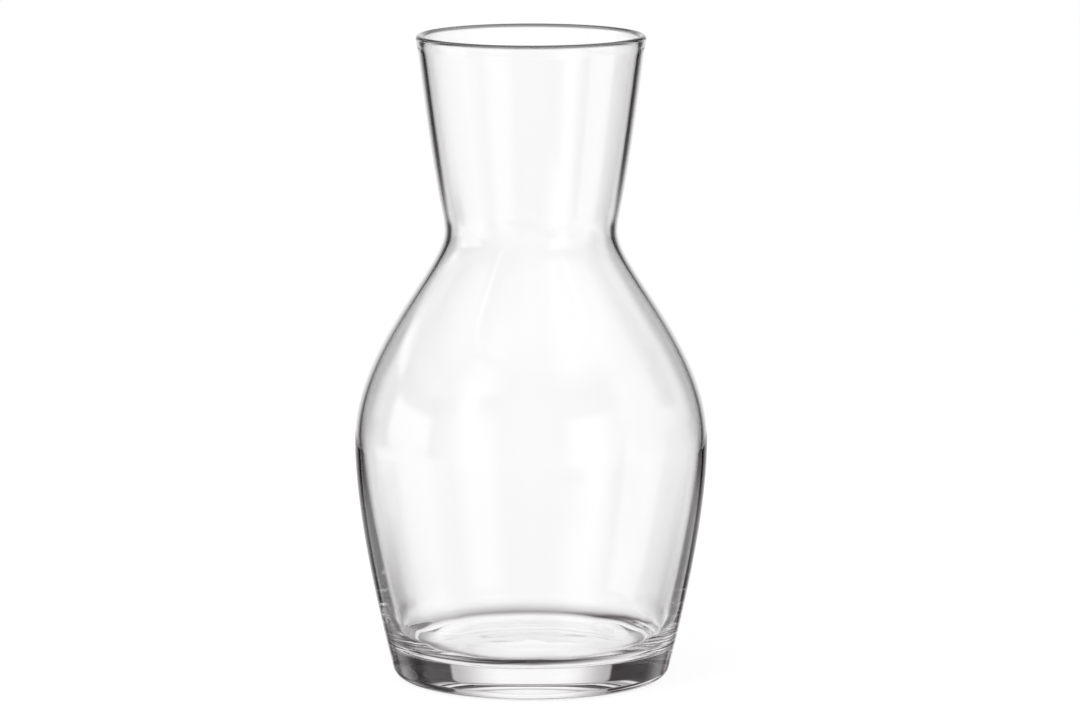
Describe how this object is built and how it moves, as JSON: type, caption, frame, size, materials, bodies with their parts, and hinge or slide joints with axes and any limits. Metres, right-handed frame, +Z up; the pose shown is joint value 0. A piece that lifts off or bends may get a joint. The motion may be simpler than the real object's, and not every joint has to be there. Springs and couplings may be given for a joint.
{
  "type": "carafe",
  "caption": "Clear blown-glass carafe: a round belly drawn in to a waist under an open, flaring neck, on a thick base with a hollowed underside.",
  "frame": {"origin": "centre of the foot, on the surface that the carafe stands on", "axes": "+Z up along the axis of revolution and out through the mouth; X and Y are level and alike"},
  "size_m": [0.1124, 0.1124, 0.206],
  "materials": {
    "glass": "clear, smooth, fire-polished at the rim"
  },
  "bodies": {
    "root": {"carafe": "glass"}
  },
  "joints": []
}
